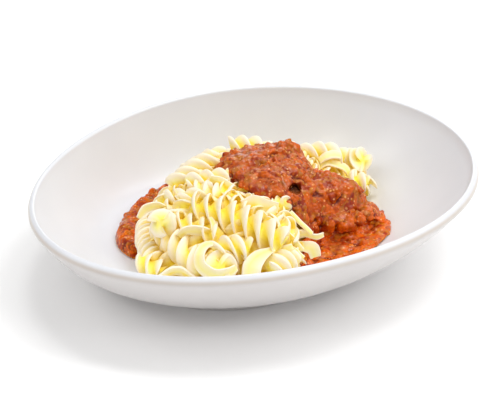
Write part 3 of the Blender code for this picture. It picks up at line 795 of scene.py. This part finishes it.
def sauce_material(name, painted_sheen_share, gloss):
    """The mesh's tints with fine grain, a paler painted sheen on what faces up, and small flecks of oil."""
    material, tree, shader, place = new_material(name)
    fine = add_noise(tree, place, 800.0, 4.0)
    fine = add_ramp(tree, fine, (0.32, (0.70, 0.60, 0.50)), (0.68, (1.28, 1.38, 1.5)))
    colour = add_mix(tree, 0.55, add_value(tree, "tint", "Color"), fine, "MULTIPLY")
    # Painted sheen: pale mauve patches on what faces up, standing in for the glossy reflection of the lamps above
    upright = add_node(tree, "SeparateXYZ", "Z", Vector=add_node(tree, "NewGeometry", "Normal"))
    painted_sheen = add_range(tree, add_noise(tree, place, 280.0, 5.0), 0.42, 0.60, painted_sheen_share)
    painted_sheen = add_math(tree, "MULTIPLY", painted_sheen, add_range(tree, upright, 0.50, 0.95, 1.0))
    colour = add_mix(tree, painted_sheen, colour, (0.60, 0.205, 0.09, 1))
    cells = add_node(tree, "TexVoronoi", "Distance", Vector=place, Scale=620.0)
    chance = add_node(tree, "SeparateColor", "Red", Color=cells.node.outputs["Color"])
    chosen = add_math(tree, "GREATER_THAN", chance, 0.80)
    fleck = add_math(tree, "MULTIPLY", chosen, add_range(tree, cells, 0.40, 0.26, 0.6))
    colour = add_mix(tree, fleck, colour, (0.88, 0.42, 0.13, 1))
    wet = add_bump(tree, add_noise(tree, place, 330.0, 3.0), 0.45, 0.0007)
    set_inputs(shader, Base_Color=colour, Roughness=0.10, Normal=wet, Specular_IOR_Level=gloss)
    return material


def floor_material():
    material, tree, shader, place = new_material("studio_floor")
    tint = add_noise(tree, place, 3.0, 2.0)
    colour = add_ramp(tree, tint, (0.0, (0.98, 0.98, 0.98)), (1.0, (0.99, 0.99, 0.99)))
    set_inputs(
        shader, Base_Color=colour, Roughness=0.9, Specular_IOR_Level=0.1, Emission_Color=(1, 1, 1, 1),
        Emission_Strength=0.03)
    return material


# Sauce

# Colours of the sauce and of what is in it; dark is also painted as shade in the hollows between the small mounds
PALETTE = {
    "sauce": (0.49, 0.071, 0.001),
    "deep": (0.315, 0.027, 0.001),
    "dark": (0.12, 0.007, 0.001),
    "tomato": (0.60, 0.100, 0.001),
    "mince": (0.47, 0.130, 0.006),
    "mince_pale": (0.74, 0.345, 0.120),
    "oil": (0.78, 0.250, 0.008),
}
# Kind, share and radius of the bits in the sauce
LUMP_KINDS = (
    ("mince", 0.30, (0.8, 1.8)), ("mince_pale", 0.14, (0.5, 0.9)), ("tomato", 0.32, (1.2, 2.8)),
    ("oil", 0.12, (0.45, 0.85)), ("dark", 0.12, (0.6, 1.2)),
)
# Width and height of each layer of small mounds on the sauce
MOUNDS = ((9.0, 1.8), (4.2, 1.2), (2.0, 0.45))
MOUND_MIDDLE = sum(rise for _, rise in MOUNDS) * 0.45
LUMPS_SUNK = (0.62, 0.92)
LUMP_EDGE = 0.25
HOLE_SHADE = 0.93
HOLE_BEHIND = 9
# How much brighter thin sauce is, between these depths
THIN_DEPTHS = (6.0, 12.0)


def unit_lump():
    shape = bmesh.new()
    bmesh.ops.create_icosphere(shape, subdivisions=2, radius=1.0)
    vertices = np.array([v.co[:] for v in shape.verts])
    faces = [tuple(v.index for v in face.verts) for face in shape.faces]
    shape.free()
    return vertices, faces


def sauce_lumps(tree, spots, rng):
    """Bits of meat and tomato half sunk in the surface under each plan spot: (centre, radius, kind)."""
    weights = np.array([weight for _, weight, _ in LUMP_KINDS])
    lumps = []
    for x, y in spots:
        hit, normal, _, _ = tree.ray_cast(Vector((x, y, SKY)), Vector((0, 0, -1)))
        if hit is None:
            continue
        kind, _, sizes = LUMP_KINDS[rng.choice(len(LUMP_KINDS), p=weights / weights.sum())]
        radius = rng.uniform(*sizes)
        lumps.append((np.array(hit - normal * radius * rng.uniform(*LUMPS_SUNK)), radius, kind))
    return lumps


def remesh(name, vertices, faces):
    """A closed body of even quads from overlapping closed bodies, in millimetres."""
    mesh = bpy.data.meshes.new(name)
    mesh.from_pydata((np.asarray(vertices) * MM).tolist(), [], faces)
    item = add_object(name, mesh)
    voxel = item.modifiers.new("even", "REMESH")
    voxel.mode = "VOXEL"
    voxel.voxel_size = SAUCE_VOXEL * MM
    relax = item.modifiers.new("relax", "SMOOTH")
    relax.factor = 0.5
    relax.iterations = RELAXING
    depsgraph = bpy.context.evaluated_depsgraph_get()
    made = bpy.data.meshes.new_from_object(item.evaluated_get(depsgraph))
    places = np.zeros(len(made.vertices) * 3, np.float32)
    made.vertices.foreach_get("co", places)
    polygons = [tuple(polygon.vertices) for polygon in made.polygons]
    bpy.data.objects.remove(item)
    bpy.data.meshes.remove(mesh)
    bpy.data.meshes.remove(made)
    return places.reshape(-1, 3) / MM, polygons


def hole_share(place):
    """How far a place lies inside the hollow, 1 in its middle and 0 outside it."""
    middle, reach, _ = SAUCE_HOLE
    way = Vector(place) - Vector(middle)
    along = way.dot(FACING)
    if abs(along) > HOLE_BEHIND:
        return 0.0
    return 1 - blend(0.45 * reach, 1.1 * reach, (way - along * FACING).length)


def mounded(place):
    """Height of the small mounds at a place: rounded with creases between them in some parts, softer in others."""
    lumpy = 0.25 + 0.75 * blend(-0.2, 0.25, noise.noise(Vector(place) / 11.0 + Vector((0, 0, 31))))
    height = 0.0
    for number, (width, rise) in enumerate(MOUNDS):
        spot = Vector(place) / width + Vector((7.3 * number, 0, 0))
        value = noise.noise(spot)
        height += rise * (lumpy * min(1.0, 2.4 * abs(value)) + (1 - lumpy) * (0.45 + 0.8 * value))
    return height


def patchy(spot, width, shift, low, high):
    """Patches of noise of a given width: 0 up to the low value, 1 from the high one."""
    return blend(low, high, noise.noise(spot / width + Vector(shift)))


def mixed(first, second, share):
    return first * (1 - share) + second * share


def tint_of(places, heights, depths, lumps, rng, lift):
    """A colour for each vertex: that of the bit it lies on, or of the sauce between them, with painted shade in the
    hollows between the small mounds and in the hollow.
    """
    tree = KDTree(len(lumps))
    for number, (centre, _, _) in enumerate(lumps):
        tree.insert(centre, number)
    tree.balance()
    shades = rng.uniform(0.8, 1.2, len(lumps))
    colours = {kind: np.array(colour) for kind, colour in PALETTE.items()}
    tints = np.ones((len(places), 4), np.float32)
    for number, place in enumerate(places):
        spot = Vector(place)
        base = mixed(colours["deep"], colours["sauce"], patchy(spot, 8.0, (3, 0, 11), -0.20, 0.12))
        base = mixed(base, colours["mince"], patchy(spot, 3.4, (40, 0, 0), 0.08, 0.22))
        base = mixed(base, colours["tomato"], patchy(spot, 4.4, (0, 70, 0), 0.10, 0.24))
        # Painted shade: darker towards the bottom of the hollows between the small mounds, where bits fade too
        deep = blend(0.0, 0.75, 1 - heights[number] / MOUND_MIDDLE)
        base = mixed(base, colours["dark"], deep)
        nearest, gap = None, LUMP_EDGE
        for centre, index, distance in tree.find_n(place, 4):
            free = distance - lumps[index][1]
            if free < gap:
                nearest, gap = index, free
        if nearest is not None:
            share = min(1.0, (LUMP_EDGE - gap) / (2 * LUMP_EDGE)) * (1 - 0.6 * deep)
            base = mixed(base, colours[lumps[nearest][2]] * shades[nearest], share)
        base = base * (1 + lift * (1 - blend(*THIN_DEPTHS, depths[number])))
        base = mixed(base, colours["oil"], 1 - blend(0.5, 1.8, depths[number]))
        tints[number, :3] = base * (1 - HOLE_SHADE * hole_share(place))
    return tints


def build_sauce(name, body, blobs, spots, rng, relief_share, lift, material, dish):
    """Sauce made of a body, blobs and bits melted together, with small mounds and the hollow worked in."""
    ball, ball_faces = unit_lump()
    parts = [as_part(*body)]
    for x, y, z, *reach in blobs:
        parts.append(as_part(ball * np.array(reach) + np.array((x, y, z)), ball_faces))
    lumps = sauce_lumps(tree_of(parts), spots, rng)
    for centre, radius, _ in lumps:
        stretch = rng.uniform(0.75, 1.3, 3)
        turn = np.array(Matrix.Rotation(rng.uniform(0, math.tau), 3, Vector(rng.normal(size=3))))
        parts.append(as_part((ball * stretch * radius) @ turn.T + centre, ball_faces))
    places, quads = remesh(name, *join(parts)[:2])
    heights = np.array([mounded(place) for place in places])
    depths = np.array([place[2] - height_under([dish], place[0], place[1]) for place in places])
    tints = tint_of(places, heights, depths, lumps, rng, lift)
    relief = relief_share * (heights - MOUND_MIDDLE) * np.interp(depths, (0.5, 7.0), (0.15, 1.0))
    hollow = np.array([hole_share(place) for place in places])
    places = places + out_directions(places, quads) * relief[:, None]
    places = places - np.array(FACING)[None, :] * (hollow * SAUCE_HOLE[2])[:, None]
    return make_piece(name, places, quads, material, tint=tints)


def scatter(low, high, count, rng, outline):
    """Random places inside an outline, which lies between two corners."""
    spots = []
    while len(spots) < count:
        spot = rng.uniform(low[0], high[0]), rng.uniform(low[1], high[1])
        if inside(outline, *spot):
            spots.append(spot)
    return spots


def inside(outline, x, y):
    hit = False
    for (ax, ay), (bx, by) in zip(outline, outline[1:] + outline[:1]):
        if (ay > y) != (by > y) and x < (bx - ax) * (y - ay) / (by - ay) + ax:
            hit = not hit
    return hit


def main_sauce_body(trees):
    outline = smooth_curve(SAUCE_OUTLINE, 150, closed=True)

    def bottom(place, share):
        return height_under(trees, place.x, place.y) + SAUCE_GAP

    def top(place, share):
        low = bottom(place, share)
        heaped = blend(0, SAUCE_RISE, low - FOOT_HEIGHT - WALL_THICKNESS - SAUCE_GAP)
        depth = SAUCE_THIN + (SAUCE_THICK - SAUCE_THIN) * heaped
        for x, y, reach, rise in SAUCE_BUMPS:
            depth += rise * (1 - blend(0, reach, (place - Vector((x, y))).length))
        depth += heaped * (2.6 * noise.noise(Vector((place.x, place.y, 0)) / 8.5) - 2.2)
        depth += 1.5 * noise.noise(Vector((place.x, place.y, 5)) / 4.2)
        return low + 0.6 + max(depth, 0.6) * math.sqrt(1 - share ** SAUCE_FULLNESS)

    return mound_mesh(outline, SAUCE_CENTRE, 34, top, bottom)


def left_sauce_body(trees):
    columns, rows = 60, 12
    outer = smooth_curve(LEFT_OUTER, columns, closed=False)
    inner = smooth_curve(LEFT_INNER, columns, closed=False)
    low, high = [], []
    for column in range(columns):
        along = 2 * column / (columns - 1) - 1
        for row in range(rows):
            across = row / (rows - 1)
            place = outer[column].lerp(inner[column], across)
            floor = height_under(trees, place.x, place.y) + SAUCE_GAP
            edge = max(abs(2 * across - 1), abs(along) ** LEFT_END_FULLNESS)
            lump = noise.noise(Vector((place.x, place.y, 0)) / 11.0)
            depth = 0.8 + (LEFT_THICK - 0.8 + lump) * math.sqrt(1 - edge ** 2)
            low.append((place.x, place.y, floor))
            high.append((place.x, place.y, floor + depth))
    sheet = len(low)
    faces = []
    for column in range(columns - 1):
        for row in range(rows - 1):
            corner = column * rows + row
            quad = (corner, corner + 1, corner + rows + 1, corner + rows)
            faces += [quad[::-1], tuple(number + sheet for number in quad)]
    last = (columns - 1) * rows
    loop = [*range(rows), *range(2 * rows - 1, last, rows)]
    loop += [*range(last + rows - 1, last - 1, -1), *range(last - rows, 0, -rows)]
    faces += bridge(loop, [number + sheet for number in loop])
    return low + high, faces


# Studio

WORLD_LIGHT = 0.46
LAMP_AIM = Vector((0, 0, 0.02))
CAMERA_AIM = Vector((-0.0178, 0.00915, 0.025))
CAMERA_DOWN = math.radians(28)
CAMERA_AWAY = 0.8
CAMERA_LENS = 109.44
CAMERA_SHIFT = (0.056, 0.022)
FLOOR = [(-4, -4, 0), (4, -4, 0), (4, 4, 0), (-4, 4, 0)]
# Place, width and power of each soft lamp
SOFTBOXES = {
    "top": ((0.0, 0.05, 1.5), 0.35, 3.8),
    "top_right": ((0.55, 0.0, 1.45), 0.45, 5.5),
    "right": ((1.1, 0.0, 1.0), 0.9, 6.2),
    "left": ((-1.1, 0.0, 1.0), 0.7, 3.0),
    "front": ((0.0, -1.1, 1.0), 0.7, 0.9),
    "front_right": ((0.8, -0.8, 1.0), 0.3, 1.7),
    "front_left": ((-0.8, -0.8, 1.0), 0.3, 1.7),
    "back_low": ((0.2, 1.4, 0.5), 0.7, 2.5),
}


def add_light(name, place, width, power):
    light = bpy.data.lights.new(name, "AREA")
    light.shape = "RECTANGLE"
    light.size = light.size_y = width
    light.energy = power
    item = add_object(name, light)
    item.location = place
    item.rotation_euler = (LAMP_AIM - Vector(place)).to_track_quat("-Z", "Y").to_euler()


def build_studio():
    scene = bpy.context.scene
    world = bpy.data.worlds.new("studio")
    world.use_nodes = True
    set_inputs(world.node_tree.nodes["Background"], Color=(1, 1, 1, 1), Strength=WORLD_LIGHT)
    scene.world = world
    scene.view_settings.view_transform = "Standard"
    scene.view_settings.look = "None"
    scene.view_settings.exposure = 0.0
    for name, (place, width, power) in SOFTBOXES.items():
        add_light(name, place, width, power)
    mesh = bpy.data.meshes.new("floor")
    mesh.from_pydata(FLOOR, [], [(0, 1, 2, 3)])
    mesh.materials.append(floor_material())
    floor = add_object("floor", mesh)
    camera = scene.camera = add_object("camera", bpy.data.cameras.new("camera"))
    away = (0, -CAMERA_AWAY * math.cos(CAMERA_DOWN), CAMERA_AWAY * math.sin(CAMERA_DOWN))
    camera.location = CAMERA_AIM + Vector(away)
    camera.rotation_euler = (math.radians(90) - CAMERA_DOWN, 0, 0)
    camera.data.sensor_width = 36
    camera.data.lens = CAMERA_LENS
    camera.data.shift_x, camera.data.shift_y = CAMERA_SHIFT
    camera.data.clip_start = 0.01


# Pieces

def build_bowl(material):
    vertices, faces = bowl_mesh()
    ring_of = [number // BOWL_SIDES for number in range(len(vertices) - 2)]
    # Where the painted shade of the outer wall lies, fading out between these rings
    outside = [1.0 - blend(*OUTSIDE_END_RINGS, ring) for ring in ring_of] + [1.0, 0.0]
    line = [max(0.0, 1.0 - abs(ring - LIP_LINE_RING) / 2.0) for ring in ring_of] + [0.0, 0.0]
    bowl = make_piece("bowl_glazed", vertices, faces, material, outside=outside, line=line)
    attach(bowl, "root")
    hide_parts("bowl")
    return vertices, faces


def finish_pasta(name, parts, material, tree):
    vertices, faces, tips = join(parts)
    # How hidden each vertex is, for the painted shade and glow in crevices
    hidden = hidden_share(vertices, faces, tree)
    item = make_piece(name, vertices, faces, material, sharp=50, tip=tips, hidden=hidden)
    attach(item, "root")
    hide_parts("pasta")


def build_pasta(material, bowl, bowl_tree, core_tree, sauce):
    """The placed spirals and torn fins, fillers in their gaps, patches over bare spots, and the core under all."""
    cover = make_tree(*sauce)

    def ground(x, y, radius, sink):
        heap = height_under([core_tree], x, y)
        return None if heap is None else max(heap + sink, height_under([bowl_tree], x, y) + radius + 0.4)

    def covered(place, radius):
        for turn in range(9):
            reach = 0.0 if turn == 8 else radius
            x = place[0] + reach * math.cos(turn * math.pi / 4)
            y = place[1] + reach * math.sin(turn * math.pi / 4)
            roof = height_under([cover], x, y)
            top = place[2] + math.sqrt(radius ** 2 - (0.8 * reach) ** 2)
            if roof is not None and top > roof - SAUCE_CLEARANCE:
                return True
        return False

    core = core_mesh(bowl_tree, 90, 24, CORE_INSET, CORE_RELIEF, CORE_SHRINK)
    placed = []
    for number, values in enumerate(SPIRALS.values()):
        placed.append(spiral_mesh(values[:3], *values[3:], np.random.default_rng(100 + number)))
    torn = []
    for number, values in enumerate(RIBBONS.values()):
        torn.append(ribbon_mesh(*values, np.random.default_rng(300 + number)))
    rng = np.random.default_rng(21)
    taken = [sample_axis(values[:3]) for values in SPIRALS.values()]
    laid = []
    for wanted, apart, sink, clear in FILLS:
        laid += lay_fillers(ground, taken if clear else [], covered, wanted, apart, sink, rng)
    between = lay_spirals(laid, 500)
    shown = tree_of(placed + torn + between + [as_part(*sauce)])
    beneath = lay_spirals(patch_bare_spots(make_tree(*core), shown, ground, covered, rng), 800)
    pieces = {
        "pasta_spirals": placed, "pasta_torn_fins": torn, "pasta_between": between, "pasta_beneath": beneath,
        "pasta_core": [as_part(*core, CORE_SHADE)],
    }
    every = tree_of(sum(pieces.values(), []) + [as_part(*bowl), as_part(*sauce)])
    for name, parts in pieces.items():
        finish_pasta(name, parts, material, every)


def build_sauces(bowl_tree, body):
    sauce = sauce_material("meat_sauce_looks", 0.43, 0.29)
    rng = np.random.default_rng(7)
    outline = smooth_curve(SAUCE_OUTLINE, 120, closed=True)
    spots = scatter((-22, -40), (74, 46), 760, rng, outline)
    main_piece = build_sauce("sauce_over_heap", body, SAUCE_BLOBS, spots, rng, 1.0, 0.38, sauce, bowl_tree)
    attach(main_piece, "root")
    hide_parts("sauce_main")

    sauce = sauce_material("left_sauce_looks", 0.02, 0.14)
    outline = smooth_curve(LEFT_OUTER, 40, closed=False) + smooth_curve(LEFT_INNER, 40, closed=False)[::-1]
    spots = scatter((-76, -20), (-33, 64), 200, rng, outline)
    body = left_sauce_body([bowl_tree])
    left_piece = build_sauce("sauce_beside_heap", body, (), spots, rng, 0.5, 0.06, sauce, bowl_tree)
    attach(left_piece, "root")
    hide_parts("sauce_left")


build_studio()
bowl_shape = build_bowl(porcelain_material())
in_bowl = make_tree(*bowl_shape)
on_core = make_tree(*core_mesh(in_bowl, 44, 6, 0.0, 0.0, 1.0))
sauce_shape = main_sauce_body([in_bowl, on_core])
build_pasta(pasta_material(), bowl_shape, in_bowl, on_core, sauce_shape)
build_sauces(in_bowl, sauce_shape)
